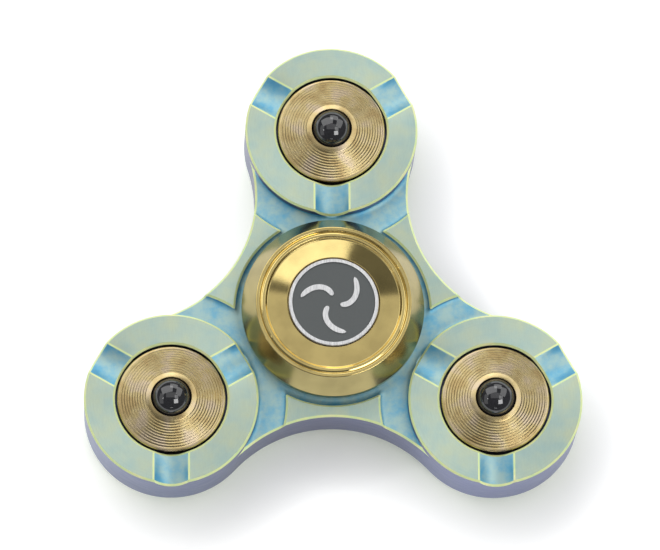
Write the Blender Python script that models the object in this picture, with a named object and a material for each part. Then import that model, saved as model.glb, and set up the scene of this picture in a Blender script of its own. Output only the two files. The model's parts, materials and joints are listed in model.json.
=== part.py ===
"""Three-lobed fidget spinner, modelled as its separate pieces.

The spin axis is Z and passes through the origin, which lies at mid-thickness. The first lobe points along +Y.
The body turns on a 1/4 inch instrument bearing. Two buttons screw together through the bearing's inner race.
Each lobe holds two weights that screw together from both faces, and each weight carries a ceramic ball.
"""

import math

import bmesh
import bpy
from mathutils import Matrix, Vector

MM = 0.001

# Body plan. Lobes and waists alternate round the hub.
LOBE_COUNT = 3
FIRST_LOBE_ANGLE = math.radians(90)
LOBE_RADIUS = 9.7 * MM

# Body heights, measured from mid-thickness. The lower face is flat at the ring height all over.
RING_HEIGHT = 3.5 * MM
PAD_HEIGHT = 2.5 * MM
WEB_HEIGHT = 1.95 * MM

# Raised bow-tie pads at the waists. PAD_WIDTH is the narrowest, in the middle of the waist.
PAD_WIDTH = 1.32 * MM
PAD_INNER_HALF_WIDTH = 5.3 * MM
PAD_OUTER_HALF_WIDTH = 5.45 * MM

# Lobe bore, with a rib at mid-thickness for the weights to clamp on.
BORE_RADIUS = 6.25 * MM
RIB_WIDTH = 1.25 * MM
RIB_HEIGHT = 0.6 * MM

# Radial grooves across the lobe rings.
GROOVE_COUNT = 3
FIRST_GROOVE_ANGLE = math.radians(30)
GROOVE_WIDTH = 3.8 * MM
GROOVE_DEPTH_AT_BORE = 0.55 * MM
GROOVE_DEPTH_AT_RIM = 1.2 * MM

# Bearing, a standard R188 size with 5/64 inch balls.
BEARING_OUTER_RADIUS = 6.35 * MM
BEARING_BORE_RADIUS = 3.175 * MM
BEARING_HEIGHT = 2.381 * MM
BEARING_BALL_RADIUS = 0.992 * MM
BEARING_BALL_COUNT = 10
INNER_SHOULDER_STEP = 0.6625 * MM
OUTER_SHOULDER_STEP = 0.6575 * MM
RETAINER_THICKNESS = 0.64 * MM
RETAINER_TOP = 0.35 * MM
RETAINER_FLOOR = 0.428 * MM

# Bearing collar, a raised part of the body that the buttons hide.
COLLAR_WALL = 1.63 * MM
COLLAR_PROUD = 0.2 * MM
LIP_THICKNESS = 0.34 * MM
LIP_WIDTH = 0.65 * MM

# Buttons.
BUTTON_RADIUS = 10.2 * MM
BUTTON_RIM_THICKNESS = 0.75 * MM
BUTTON_THICKNESS = 3.25 * MM
FLANK_WIDTH = 1.56 * MM
CREST_LAND_WIDTH = 0.36 * MM
CREST_GROOVE_WIDTH = 0.36 * MM
CREST_GROOVE_DEPTH = 0.26 * MM
RIDGE_WIDTH = 0.3 * MM
RIDGE_DEPTH = 0.16 * MM
STEP_WIDTH = 0.24 * MM
STEP_DEPTH = 0.46 * MM
DISH_RISE = 0.2 * MM
BOSS_SETBACK = 0.15 * MM
STUD_RADIUS = 2.0 * MM
STUD_TIP_HEIGHT = 2.1 * MM

# Medallions set into the buttons.
MEDALLION_RADIUS = 5.0 * MM
MEDALLION_THICKNESS = 1.1 * MM
MEDALLION_SINK = 0.1 * MM
MEDALLION_RIM_WIDTH = 0.4 * MM
MEDALLION_FIELD_DEPTH = 0.12 * MM

# Lobe weights.
WEIGHT_RIM_SINK = 0.15 * MM
WEIGHT_CONE_RISE = 1.0 * MM
WEIGHT_STUD_RADIUS = 2.5 * MM
WEIGHT_FLOOR = 0.44 * MM

# Lobe balls, 11/64 inch, sunk a little in a drilled seat.
LOBE_BALL_RADIUS = 2.183 * MM
LOBE_BALL_SINK = 0.6 * MM
DRILL_POINT_HALF_ANGLE = math.radians(59)

# Clearances.
PRESS_GAP = 0.02 * MM
SEAT_GAP = 0.03 * MM
THREAD_GAP = 0.06 * MM
BUTTON_RING_GAP = 0.9 * MM
BUTTON_PAD_GAP = 0.68 * MM
BUTTON_POCKET_GAP = 0.75 * MM
BUTTON_LIP_GAP = 0.299 * MM
WEIGHT_GAP = 0.25 * MM
SLIP_GAP = 0.035 * MM
INLAY_GAP = 0.15 * MM
RIB_GAP = 0.2 * MM
END_GAP = 0.2 * MM
RACE_GAP = 0.05 * MM
POCKET_GAP = 0.08 * MM

# Facets.
FINE_STEPS = 40
TURNED_STEPS = 32
LOBE_OUTER_STEPS = 30
LOBE_INNER_STEPS = 20
PAD_STEPS = 6
WAIST_END_STEPS = 4
GROOVE_STEPS = 6
RACEWAY_STEPS = 6
BALL_STEPS = 14
BALL_RINGS = 8
BEARING_BALL_STEPS = 12
BEARING_BALL_RINGS = 8
STEPS_PER_POCKET = 4
SMOOTH_ANGLE = math.radians(35)
WELD = 0.0005 * MM
CUT_EXTRA = 1.0 * MM

# Colours as (red, green, blue), then roughness and metallic.
BODY_FINISH = ((0.42, 0.55, 0.53), 0.38, 1.0)
BUTTON_FINISH = ((0.62, 0.47, 0.17), 0.18, 1.0)
MEDALLION_FINISH = ((0.16, 0.17, 0.18), 0.45, 0.6)
WEIGHT_FINISH = ((0.46, 0.34, 0.17), 0.28, 1.0)
LOBE_BALL_FINISH = ((0.012, 0.012, 0.015), 0.05, 0.0)
RACE_FINISH = ((0.55, 0.56, 0.58), 0.2, 1.0)
BEARING_BALL_FINISH = ((0.62, 0.63, 0.65), 0.12, 1.0)
RETAINER_FINISH = ((0.45, 0.45, 0.46), 0.35, 1.0)


def clear_scene():
    for old in list(bpy.data.objects):
        bpy.data.objects.remove(old, do_unlink=True)


def polar(radius, angle):
    return Vector((radius * math.cos(angle), radius * math.sin(angle)))


def arc(centre, radius, start, end, steps):
    """Points from start to end round a centre, both ends included."""
    return [centre + polar(radius, start + (end - start) * i / steps) for i in range(steps + 1)]


def material(name, finish):
    colour, roughness, metallic = finish
    made = bpy.data.materials.new(name)
    made.use_nodes = True
    shader = made.node_tree.nodes["Principled BSDF"]
    shader.inputs["Base Color"].default_value = (*colour, 1.0)
    shader.inputs["Roughness"].default_value = roughness
    shader.inputs["Metallic"].default_value = metallic
    return made


def place(name, mesh, finish_material, location=(0, 0, 0), parent=None):
    """Adds a piece to the scene, smooth except across its sharp edges."""
    if not mesh.materials:
        mesh.materials.append(finish_material)
    mesh.shade_smooth()
    mesh.set_sharp_from_angle(angle=SMOOTH_ANGLE)
    made = bpy.data.objects.new(name, mesh)
    made.location = location
    made.parent = parent
    bpy.context.scene.collection.objects.link(made)
    return made


def axis_empty(name, parent=None):
    made = bpy.data.objects.new(name, None)
    made.empty_display_size = BUTTON_RADIUS
    made.parent = parent
    bpy.context.scene.collection.objects.link(made)
    return made


def mesh_from(bm, name):
    bmesh.ops.recalc_face_normals(bm, faces=bm.faces)
    mesh = bpy.data.meshes.new(name)
    bm.to_mesh(mesh)
    bm.free()
    return mesh


def turned_mesh(name, profile, steps, closed=False):
    """Spins a profile of (radius, height) points round Z. An open profile starts and ends on the axis."""
    bm = bmesh.new()
    points = [bm.verts.new((radius, 0, height)) for radius, height in profile]
    pairs = list(zip(points, points[1:]))
    if closed:
        pairs.append((points[-1], points[0]))
    edges = [bm.edges.new(pair) for pair in pairs]
    bmesh.ops.spin(
        bm, geom=points + edges, cent=(0, 0, 0), axis=(0, 0, 1), angle=math.tau, steps=steps, use_merge=True
    )
    bmesh.ops.remove_doubles(bm, verts=bm.verts, dist=WELD)
    return mesh_from(bm, name)


def extruded_mesh(name, outline, low, high):
    bm = bmesh.new()
    face = bm.faces.new([bm.verts.new((point.x, point.y, low)) for point in outline])
    raised = bmesh.ops.extrude_face_region(bm, geom=[face])["geom"]
    lifted = [item for item in raised if isinstance(item, bmesh.types.BMVert)]
    bmesh.ops.translate(bm, verts=lifted, vec=(0, 0, high - low))
    return mesh_from(bm, name)


def ball_mesh(name, radius, steps, rings):
    bm = bmesh.new()
    bmesh.ops.create_uvsphere(bm, u_segments=steps, v_segments=rings, radius=radius)
    return mesh_from(bm, name)


def helper(collection, name, mesh, matrix=Matrix.Identity(4)):
    """A solid that only shapes another piece."""
    made = bpy.data.objects.new(name, mesh)
    made.matrix_world = matrix
    made.hide_render = True
    made.display_type = "WIRE"
    collection.objects.link(made)
    return made


def helper_collection(name):
    made = bpy.data.collections.new(name)
    bpy.context.scene.collection.children.link(made)
    return made


def boolean(piece, operation, collection):
    modifier = piece.modifiers.new(operation.lower(), "BOOLEAN")
    modifier.operation = operation
    modifier.operand_type = "COLLECTION"
    modifier.collection = collection
    modifier.solver = "EXACT"


def lobe_distance():
    """Distance of each lobe's centre from the hub. The button passes between the lobe rings."""
    return BUTTON_RADIUS + BUTTON_RING_GAP + LOBE_RADIUS


def pad_inner_radius():
    return BUTTON_RADIUS + BUTTON_PAD_GAP


def waist_radius():
    return pad_inner_radius() + PAD_WIDTH


def rib_bore_radius():
    return BORE_RADIUS - RIB_WIDTH


def lobe_angles():
    return [FIRST_LOBE_ANGLE + math.tau * i / LOBE_COUNT for i in range(LOBE_COUNT)]


def waist_arc():
    """Distance and radius of the waist's round cut, which touches both lobes and passes the waist radius."""
    half = math.pi / LOBE_COUNT
    reach = LOBE_RADIUS - waist_radius()
    lobe = lobe_distance()
    distance = (lobe**2 - reach**2) / (2 * (reach + lobe * math.cos(half)))
    return distance, distance - waist_radius()


def lobe_tangent_angle():
    """Angle at the lobe's centre, from its outward direction, of the point where the waist cut begins."""
    distance, _ = waist_arc()
    half = math.pi / LOBE_COUNT
    to_cut = polar(distance, half) - Vector((lobe_distance(), 0))
    return math.atan2(to_cut.y, to_cut.x)


def waist_stretches(direction):
    """The waist's edge before, along and after the pad, going anticlockwise round the hub."""
    distance, radius = waist_arc()
    half = math.pi / LOBE_COUNT
    centre = polar(distance, direction)
    to_lobe = polar(lobe_distance(), direction - half) - centre
    start = math.atan2(to_lobe.y, to_lobe.x) - direction - math.pi
    start = (start + math.pi) % math.tau - math.pi
    pad_turn = math.asin(PAD_OUTER_HALF_WIDTH / radius)
    facing = direction + math.pi
    before = arc(centre, radius, facing + start, facing + pad_turn, WAIST_END_STEPS)
    along = arc(centre, radius, facing + pad_turn, facing - pad_turn, PAD_STEPS)
    after = arc(centre, radius, facing - pad_turn, facing - start, WAIST_END_STEPS)
    return before, along, after


def lobe_edge(angle):
    """The lobe's free edge, from the waist before it to the waist after it."""
    tangent = lobe_tangent_angle()
    centre = polar(lobe_distance(), angle)
    return arc(centre, LOBE_RADIUS, angle - tangent, angle + tangent, LOBE_OUTER_STEPS)


def body_outline():
    outline = []
    for angle in lobe_angles():
        before, along, after = waist_stretches(angle + math.pi / LOBE_COUNT)
        outline += lobe_edge(angle)[:-1] + before[:-1] + along[:-1] + after[:-1]
    return outline


def lobe_outline(angle):
    """The whole ring edge: its free edge, then the stretch that faces the hub."""
    tangent = lobe_tangent_angle()
    centre = polar(lobe_distance(), angle)
    hub_side = arc(centre, LOBE_RADIUS, angle + tangent, angle + math.tau - tangent, LOBE_INNER_STEPS)
    return lobe_edge(angle)[:-1] + hub_side[:-1]


def pad_outline(direction):
    _, outer, _ = waist_stretches(direction)
    turn = math.asin(PAD_INNER_HALF_WIDTH / pad_inner_radius())
    inner = arc(Vector((0, 0)), pad_inner_radius(), direction + turn, direction - turn, PAD_STEPS)
    return outer + inner


def collar_ends():
    """Heights of the collar's open end and of its lipped end."""
    top = BEARING_HEIGHT + COLLAR_PROUD
    bottom = -(BEARING_HEIGHT + SEAT_GAP + LIP_THICKNESS)
    return top, bottom


def bearing_pocket_radius():
    return BEARING_OUTER_RADIUS + PRESS_GAP


def collar_radius():
    return bearing_pocket_radius() + COLLAR_WALL


def bearing_cut_mesh():
    top, bottom = collar_ends()
    pocket = bearing_pocket_radius()
    lip_radius = BEARING_OUTER_RADIUS - LIP_WIDTH
    lip_face = -(BEARING_HEIGHT + SEAT_GAP)
    profile = [
        (0, top + CUT_EXTRA),
        (pocket, top + CUT_EXTRA),
        (pocket, lip_face),
        (lip_radius, lip_face),
        (lip_radius, bottom - CUT_EXTRA),
        (0, bottom - CUT_EXTRA),
    ]
    return turned_mesh("bearing_cut", profile, FINE_STEPS)


def button_pocket_mesh():
    """Cuts the lower face's round pocket for the lower button, leaving the collar standing in it."""
    _, bottom = collar_ends()
    end = -(RING_HEIGHT + CUT_EXTRA)
    pocket = BUTTON_RADIUS + BUTTON_POCKET_GAP
    collar = collar_radius()
    profile = [(0, end), (pocket, end), (pocket, -WEB_HEIGHT)]
    profile += [(collar, -WEB_HEIGHT), (collar, bottom), (0, bottom)]
    return turned_mesh("button_pocket_cut", profile, FINE_STEPS)


def bore_cut_mesh():
    end = RING_HEIGHT + CUT_EXTRA
    rib_bore = rib_bore_radius()
    profile = [
        (0, end),
        (BORE_RADIUS, end),
        (BORE_RADIUS, RIB_HEIGHT),
        (rib_bore, RIB_HEIGHT),
        (rib_bore, -RIB_HEIGHT),
        (BORE_RADIUS, -RIB_HEIGHT),
        (BORE_RADIUS, -end),
        (0, -end),
    ]
    return turned_mesh("bore_cut", profile, FINE_STEPS)


def groove_section(distance):
    """The groove's cross-section at a distance from the lobe's centre, as points (x, y, z)."""
    slope = (GROOVE_DEPTH_AT_RIM - GROOVE_DEPTH_AT_BORE) / (LOBE_RADIUS - BORE_RADIUS)
    depth = GROOVE_DEPTH_AT_BORE + slope * (distance - BORE_RADIUS)
    half = GROOVE_WIDTH / 2
    radius = (half**2 + depth**2) / (2 * depth)
    turn = math.asin(half / radius)
    down = -math.pi / 2
    floor = arc(Vector((0, RING_HEIGHT - depth + radius)), radius, down - turn, down + turn, GROOVE_STEPS)
    above = RING_HEIGHT + CUT_EXTRA
    corners = [Vector((half, above)), Vector((-half, above))]
    return [(distance, point.x, point.y) for point in floor + corners]


def groove_cut_mesh():
    """A groove that deepens outward, cut along +X from inside the bore to outside the ring."""
    bm = bmesh.new()
    ends = []
    for distance in (BORE_RADIUS - CUT_EXTRA, LOBE_RADIUS + CUT_EXTRA):
        ends.append([bm.verts.new(point) for point in groove_section(distance)])
    for ring in ends:
        bm.faces.new(ring)
    count = len(ends[0])
    for i in range(count):
        j = (i + 1) % count
        bm.faces.new((ends[0][i], ends[0][j], ends[1][j], ends[1][i]))
    return mesh_from(bm, "groove_cut")


def body_piece(parent):
    piece = place(
        "frame",
        extruded_mesh("frame", body_outline(), -RING_HEIGHT, WEB_HEIGHT),
        material("frame_titanium", BODY_FINISH),
        parent=parent,
    )
    added = helper_collection("frame_additions")
    cuts = helper_collection("frame_cuts")
    top, bottom = collar_ends()
    collar = [(0, top), (collar_radius(), top), (collar_radius(), bottom), (0, bottom)]
    helper(added, "collar", turned_mesh("collar", collar, FINE_STEPS))
    helper(cuts, "bearing_cut", bearing_cut_mesh())
    helper(cuts, "button_pocket_cut", button_pocket_mesh())
    bore_cut = bore_cut_mesh()
    groove_cut = groove_cut_mesh()
    for number, angle in enumerate(lobe_angles(), 1):
        direction = angle + math.pi / LOBE_COUNT
        ring = extruded_mesh("lobe_ring", lobe_outline(angle), 0, RING_HEIGHT)
        helper(added, f"lobe_ring_{number}", ring)
        pad = extruded_mesh("pad", pad_outline(direction), 0, PAD_HEIGHT)
        helper(added, f"pad_{number}", pad)
        centre = Matrix.Translation(polar(lobe_distance(), angle).to_3d())
        helper(cuts, f"bore_cut_{number}", bore_cut, centre)
        for groove in range(GROOVE_COUNT):
            turn = Matrix.Rotation(FIRST_GROOVE_ANGLE + math.tau * groove / GROOVE_COUNT, 4, "Z")
            helper(cuts, f"groove_cut_{number}_{groove + 1}", groove_cut, centre @ turn)
    boolean(piece, "UNION", added)
    boolean(piece, "DIFFERENCE", cuts)
    return piece


def button_underside():
    """Height of the button's flat back, a running gap above the collar's lip."""
    return BEARING_HEIGHT + SEAT_GAP + LIP_THICKNESS + BUTTON_LIP_GAP


def crest_height():
    return button_underside() + BUTTON_THICKNESS


def face_profile():
    """A button's outer face, from the medallion pocket's floor out to the crest and down to the rim."""
    crest = crest_height()
    underside = button_underside()
    crest_outer = BUTTON_RADIUS - FLANK_WIDTH
    land = crest_outer - CREST_LAND_WIDTH
    groove = land - CREST_GROOVE_WIDTH / 2
    ridge_outer = land - CREST_GROOVE_WIDTH
    ridge_inner = ridge_outer - RIDGE_WIDTH
    dish_outer = ridge_inner - STEP_WIDTH
    pocket = MEDALLION_RADIUS + INLAY_GAP
    pocket_floor = crest - MEDALLION_SINK - MEDALLION_THICKNESS - SEAT_GAP
    boss = shoulder_radii()[0] - BOSS_SETBACK
    return [
        (0, pocket_floor),
        (pocket, pocket_floor),
        (pocket, crest - STEP_DEPTH + DISH_RISE),
        (dish_outer, crest - STEP_DEPTH),
        (ridge_inner, crest - RIDGE_DEPTH),
        (ridge_outer, crest - RIDGE_DEPTH),
        (groove, crest - CREST_GROOVE_DEPTH),
        (land, crest),
        (crest_outer, crest),
        (BUTTON_RADIUS, underside + BUTTON_RIM_THICKNESS),
        (BUTTON_RADIUS, underside),
        (boss, underside),
        (boss, BEARING_HEIGHT + SEAT_GAP),
    ]


def button_top_mesh():
    """The upper button. Its hollow stem passes through the inner race and takes the lower button's stud."""
    stem = BEARING_BORE_RADIUS - SLIP_GAP
    bore = STUD_RADIUS + THREAD_GAP
    seat = BEARING_HEIGHT + SEAT_GAP
    stem_end = -(BEARING_HEIGHT - END_GAP)
    bore_end = STUD_TIP_HEIGHT + END_GAP
    stem_profile = [(stem, seat), (stem, stem_end), (bore, stem_end), (bore, bore_end), (0, bore_end)]
    return turned_mesh("button_top", face_profile() + stem_profile, FINE_STEPS)


def button_bottom_mesh():
    seat = BEARING_HEIGHT + SEAT_GAP
    stud_profile = [(STUD_RADIUS, seat), (STUD_RADIUS, -STUD_TIP_HEIGHT), (0, -STUD_TIP_HEIGHT)]
    profile = [(radius, -height) for radius, height in face_profile() + stud_profile]
    return turned_mesh("button_bottom", profile, FINE_STEPS)


def medallion_mesh():
    """A disc with a raised rim, its outer face at height 0."""
    field = MEDALLION_RADIUS - MEDALLION_RIM_WIDTH
    profile = [
        (0, -MEDALLION_FIELD_DEPTH),
        (field, -MEDALLION_FIELD_DEPTH),
        (field, 0),
        (MEDALLION_RADIUS, 0),
        (MEDALLION_RADIUS, -MEDALLION_THICKNESS),
        (0, -MEDALLION_THICKNESS),
    ]
    return turned_mesh("medallion", profile, TURNED_STEPS)


def weight_mouth_height():
    return RING_HEIGHT - WEIGHT_RIM_SINK + WEIGHT_CONE_RISE


def lobe_ball_height():
    return weight_mouth_height() - LOBE_BALL_SINK


def seat_point_height():
    """Height of the ball seat's drilled point, whose cone touches the ball less a gap."""
    return lobe_ball_height() - LOBE_BALL_RADIUS / math.sin(DRILL_POINT_HALF_ANGLE) - SEAT_GAP


def weight_stud_length():
    """The stud and its socket stop a floor's thickness below the ball seat."""
    return seat_point_height() - WEIGHT_FLOOR - SEAT_GAP


def weight_outer_profile():
    """The part that both weights of a pair share: ball seat, cone, rim, and the faces at the body's rib."""
    seat = LOBE_BALL_RADIUS + SLIP_GAP
    point = seat_point_height()
    outer = BORE_RADIUS - WEIGHT_GAP
    rib = rib_bore_radius() - RIB_GAP
    return [
        (0, point),
        (seat, point + seat / math.tan(DRILL_POINT_HALF_ANGLE)),
        (seat, weight_mouth_height()),
        (outer, RING_HEIGHT - WEIGHT_RIM_SINK),
        (outer, RIB_HEIGHT + SEAT_GAP),
        (rib, RIB_HEIGHT + SEAT_GAP),
        (rib, SEAT_GAP),
    ]


def weight_top_mesh():
    radius = WEIGHT_STUD_RADIUS
    length = weight_stud_length()
    stud = [(radius, SEAT_GAP), (radius, -length), (0, -length)]
    return turned_mesh("weight_top", weight_outer_profile() + stud, TURNED_STEPS)


def weight_bottom_mesh():
    radius = WEIGHT_STUD_RADIUS + THREAD_GAP
    depth = weight_stud_length() + SEAT_GAP
    socket = [(radius, SEAT_GAP), (radius, depth), (0, depth)]
    profile = [(r, -z) for r, z in weight_outer_profile() + socket]
    return turned_mesh("weight_bottom", profile, TURNED_STEPS)


def pitch_radius():
    return (BEARING_OUTER_RADIUS + BEARING_BORE_RADIUS) / 2


def shoulder_radii():
    """Radii of the races' shoulders, the inner race's and the outer race's."""
    return pitch_radius() - INNER_SHOULDER_STEP, pitch_radius() + OUTER_SHOULDER_STEP


def raceway(shoulder, side):
    """The ball track's points from top to bottom. side is -1 on the inner race and 1 on the outer."""
    radius = BEARING_BALL_RADIUS + RACE_GAP
    half = math.acos(abs(shoulder - pitch_radius()) / radius)
    angles = [half - 2 * half * i / RACEWAY_STEPS for i in range(RACEWAY_STEPS + 1)]
    return [(pitch_radius() + side * radius * math.cos(a), radius * math.sin(a)) for a in angles]


def inner_race_mesh():
    shoulder, _ = shoulder_radii()
    profile = [(BEARING_BORE_RADIUS, BEARING_HEIGHT), (shoulder, BEARING_HEIGHT)]
    profile += raceway(shoulder, -1)
    profile += [(shoulder, -BEARING_HEIGHT), (BEARING_BORE_RADIUS, -BEARING_HEIGHT)]
    return turned_mesh("bearing_inner_race", profile, FINE_STEPS, closed=True)


def outer_race_mesh():
    _, shoulder = shoulder_radii()
    profile = [(BEARING_OUTER_RADIUS, BEARING_HEIGHT), (shoulder, BEARING_HEIGHT)]
    profile += raceway(shoulder, 1)
    profile += [(shoulder, -BEARING_HEIGHT), (BEARING_OUTER_RADIUS, -BEARING_HEIGHT)]
    return turned_mesh("bearing_outer_race", profile, FINE_STEPS, closed=True)


def ball_position(number):
    return polar(pitch_radius(), math.tau * number / BEARING_BALL_COUNT).to_3d()


def retainer_piece(parent):
    """A crown retainer: a ring with a snap-in pocket round each ball."""
    inner = pitch_radius() - RETAINER_THICKNESS / 2
    outer = pitch_radius() + RETAINER_THICKNESS / 2
    pocket = BEARING_BALL_RADIUS + POCKET_GAP
    bottom = -(pocket + RETAINER_FLOOR)
    profile = [(inner, RETAINER_TOP), (outer, RETAINER_TOP), (outer, bottom), (inner, bottom)]
    piece = place(
        "ball_retainer",
        turned_mesh("ball_retainer", profile, BEARING_BALL_COUNT * STEPS_PER_POCKET, closed=True),
        material("retainer_steel", RETAINER_FINISH),
        parent=parent,
    )
    cuts = helper_collection("retainer_cuts")
    length = RETAINER_THICKNESS + CUT_EXTRA
    cut_profile = [(0, length), (pocket, length), (pocket, -length), (0, -length)]
    cut = turned_mesh("pocket_cut", cut_profile, BEARING_BALL_STEPS)
    lay = Matrix.Rotation(math.pi / 2, 4, "Y")
    for number in range(BEARING_BALL_COUNT):
        turn = Matrix.Rotation(math.tau * number / BEARING_BALL_COUNT, 4, "Z")
        spot = Matrix.Translation(ball_position(number))
        helper(cuts, f"pocket_cut_{number + 1:02d}", cut, spot @ turn @ lay)
    boolean(piece, "DIFFERENCE", cuts)
    return piece


def hub_pieces(parent):
    button_gold = material("button_gold", BUTTON_FINISH)
    medallion_grey = material("medallion_grey", MEDALLION_FINISH)
    race_steel = material("race_steel", RACE_FINISH)
    face = crest_height() - MEDALLION_SINK
    place("button_top", button_top_mesh(), button_gold, parent=parent)
    place("button_bottom", button_bottom_mesh(), button_gold, parent=parent)
    place("medallion_top", medallion_mesh(), medallion_grey, (0, 0, face), parent)
    lower = place("medallion_bottom", medallion_mesh(), medallion_grey, (0, 0, -face), parent)
    lower.rotation_euler = (math.pi, 0, 0)
    place("bearing_inner_race", inner_race_mesh(), race_steel, parent=parent)


def lobe_pieces(parent):
    weight_bronze = material("weight_bronze", WEIGHT_FINISH)
    ceramic_black = material("ceramic_black", LOBE_BALL_FINISH)
    upper_weight = weight_top_mesh()
    lower_weight = weight_bottom_mesh()
    ball = ball_mesh("lobe_ball", LOBE_BALL_RADIUS, BALL_STEPS, BALL_RINGS)
    height = lobe_ball_height()
    for number, angle in enumerate(lobe_angles(), 1):
        x, y = polar(lobe_distance(), angle)
        place(f"weight_top_{number}", upper_weight, weight_bronze, (x, y, 0), parent)
        place(f"weight_bottom_{number}", lower_weight, weight_bronze, (x, y, 0), parent)
        place(f"lobe_ball_top_{number}", ball, ceramic_black, (x, y, height), parent)
        place(f"lobe_ball_bottom_{number}", ball, ceramic_black, (x, y, -height), parent)


def bearing_ball_pieces(parent):
    steel = material("bearing_ball_steel", BEARING_BALL_FINISH)
    ball = ball_mesh("bearing_ball", BEARING_BALL_RADIUS, BEARING_BALL_STEPS, BEARING_BALL_RINGS)
    for number in range(BEARING_BALL_COUNT):
        place(f"bearing_ball_{number + 1:02d}", ball, steel, ball_position(number), parent)


def build():
    clear_scene()
    hub = axis_empty("hub_axis")
    spinner = axis_empty("spin_axis", hub)
    cage = axis_empty("cage_axis", hub)
    hub_pieces(hub)
    body_piece(spinner)
    place("bearing_outer_race", outer_race_mesh(), material("outer_race_steel", RACE_FINISH), parent=spinner)
    lobe_pieces(spinner)
    retainer_piece(cage)
    bearing_ball_pieces(cage)


build()
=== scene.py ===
"""Looks of the three-lobed fidget spinner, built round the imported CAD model.

Lengths in the shape functions are millimetres, and the finished meshes are scaled to metres.
"""

import json
import math

import bmesh
import bpy
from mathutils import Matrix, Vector
from mathutils.geometry import delaunay_2d_cdt

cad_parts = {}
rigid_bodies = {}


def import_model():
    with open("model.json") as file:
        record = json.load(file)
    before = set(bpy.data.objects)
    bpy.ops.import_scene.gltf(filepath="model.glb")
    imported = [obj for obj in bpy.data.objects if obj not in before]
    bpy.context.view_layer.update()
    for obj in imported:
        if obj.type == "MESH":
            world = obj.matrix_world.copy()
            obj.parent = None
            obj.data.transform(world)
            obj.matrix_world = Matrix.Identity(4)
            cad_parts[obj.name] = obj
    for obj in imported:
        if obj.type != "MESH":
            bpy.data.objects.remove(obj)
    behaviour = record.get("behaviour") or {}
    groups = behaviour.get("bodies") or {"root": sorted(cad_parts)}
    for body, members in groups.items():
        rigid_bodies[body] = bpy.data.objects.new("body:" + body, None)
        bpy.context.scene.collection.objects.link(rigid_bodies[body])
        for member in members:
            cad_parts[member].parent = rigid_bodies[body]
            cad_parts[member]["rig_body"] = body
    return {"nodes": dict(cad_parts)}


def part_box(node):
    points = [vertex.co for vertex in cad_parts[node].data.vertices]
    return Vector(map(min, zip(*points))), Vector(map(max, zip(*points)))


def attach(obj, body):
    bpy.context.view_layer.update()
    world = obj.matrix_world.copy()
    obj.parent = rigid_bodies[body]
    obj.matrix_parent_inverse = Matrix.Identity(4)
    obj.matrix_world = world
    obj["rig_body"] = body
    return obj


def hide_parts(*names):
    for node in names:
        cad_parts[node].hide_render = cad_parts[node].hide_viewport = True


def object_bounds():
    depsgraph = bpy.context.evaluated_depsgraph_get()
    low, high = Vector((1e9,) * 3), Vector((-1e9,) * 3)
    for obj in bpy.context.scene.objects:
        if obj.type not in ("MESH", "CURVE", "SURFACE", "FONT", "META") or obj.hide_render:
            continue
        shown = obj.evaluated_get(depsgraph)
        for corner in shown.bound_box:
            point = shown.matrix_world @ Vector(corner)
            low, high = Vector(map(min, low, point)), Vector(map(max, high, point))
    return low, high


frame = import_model()
cad_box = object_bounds()

MM = 0.001


def box_mm(node):
    low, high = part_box(node)
    return low / MM, high / MM


# Places and sizes that the frame gives.
LOBE_COUNT = 3
FRAME_HIGH = box_mm("frame")[1]
LOBE_LOW, LOBE_HIGH = box_mm("weight_top_1")
BUTTON_HIGH = box_mm("button_top")[1]
MEDAL_LOW, MEDAL_HIGH = box_mm("medallion_top")
BALL_LOW, BALL_HIGH = box_mm("lobe_ball_top_1")
LOBE_DISTANCE = (LOBE_LOW.y + LOBE_HIGH.y) / 2
LOBE_RADIUS = FRAME_HIGH.y - LOBE_DISTANCE
RING_HEIGHT = FRAME_HIGH.z
WEIGHT_RADIUS = (LOBE_HIGH.x - LOBE_LOW.x) / 2
BUTTON_RADIUS = BUTTON_HIGH.x
CREST_HEIGHT = BUTTON_HIGH.z
MEDAL_RADIUS = MEDAL_HIGH.x
MEDAL_FACE = MEDAL_HIGH.z
LOBE_BALL_RADIUS = (BALL_HIGH.z - BALL_LOW.z) / 2
LOBE_BALL_HEIGHT = (BALL_HIGH.z + BALL_LOW.z) / 2

# Body shape, as in the CAD part.
WAIST_RADIUS = 12.2
WEB_HEIGHT = 1.95
PAD_HEIGHT = 2.5
PAD_INNER_RADIUS = 10.88
PAD_LOBE_GAP = 3.05
PAD_CORNER = 0.26
POCKET_RADIUS = 10.95
BORE_RADIUS = 6.25
RIB_BORE_RADIUS = 5.0
RIB_HEIGHT = 0.6
GROOVE_TURN = math.radians(30)
GROOVE_HALF_WIDTH = 1.9
GROOVE_DEPTH_AT_BORE = 0.55
GROOVE_DEPTH_AT_RIM = 1.2
COLLAR_RADIUS = 8.0
COLLAR_TOP = 2.581
COLLAR_BOTTOM = 2.751
BEARING_POCKET_RADIUS = 6.37
LIP_RADIUS = 5.7
RACE_FACE = 2.411

# Button, from its dish to its stem. Each drop is measured down from the crest.
DISH_INNER_DROP = 0.26
DISH_OUTER_RADIUS = 7.38
DISH_OUTER_DROP = 0.46
RIDGE_INNER_RADIUS = 7.62
RIDGE_OUTER_RADIUS = 7.92
RIDGE_DROP = 0.16
CREST_GROOVE_RADIUS = 8.1
CREST_GROOVE_DROP = 0.26
CREST_INNER_RADIUS = 8.28
CREST_OUTER_RADIUS = 8.64
RIM_TOP = 3.8
RIM_FOOT = 3.05
SPACER_RADIUS = 3.95
STEM_RADIUS = 3.14
STEM_END = -2.181
STEM_BORE_RADIUS = 2.06
STEM_BORE_END = 2.3
BUTTON_STUD_RADIUS = 2.0
BUTTON_STUD_END = -2.1
BUTTON_ROUNDING = 0.06

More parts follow.
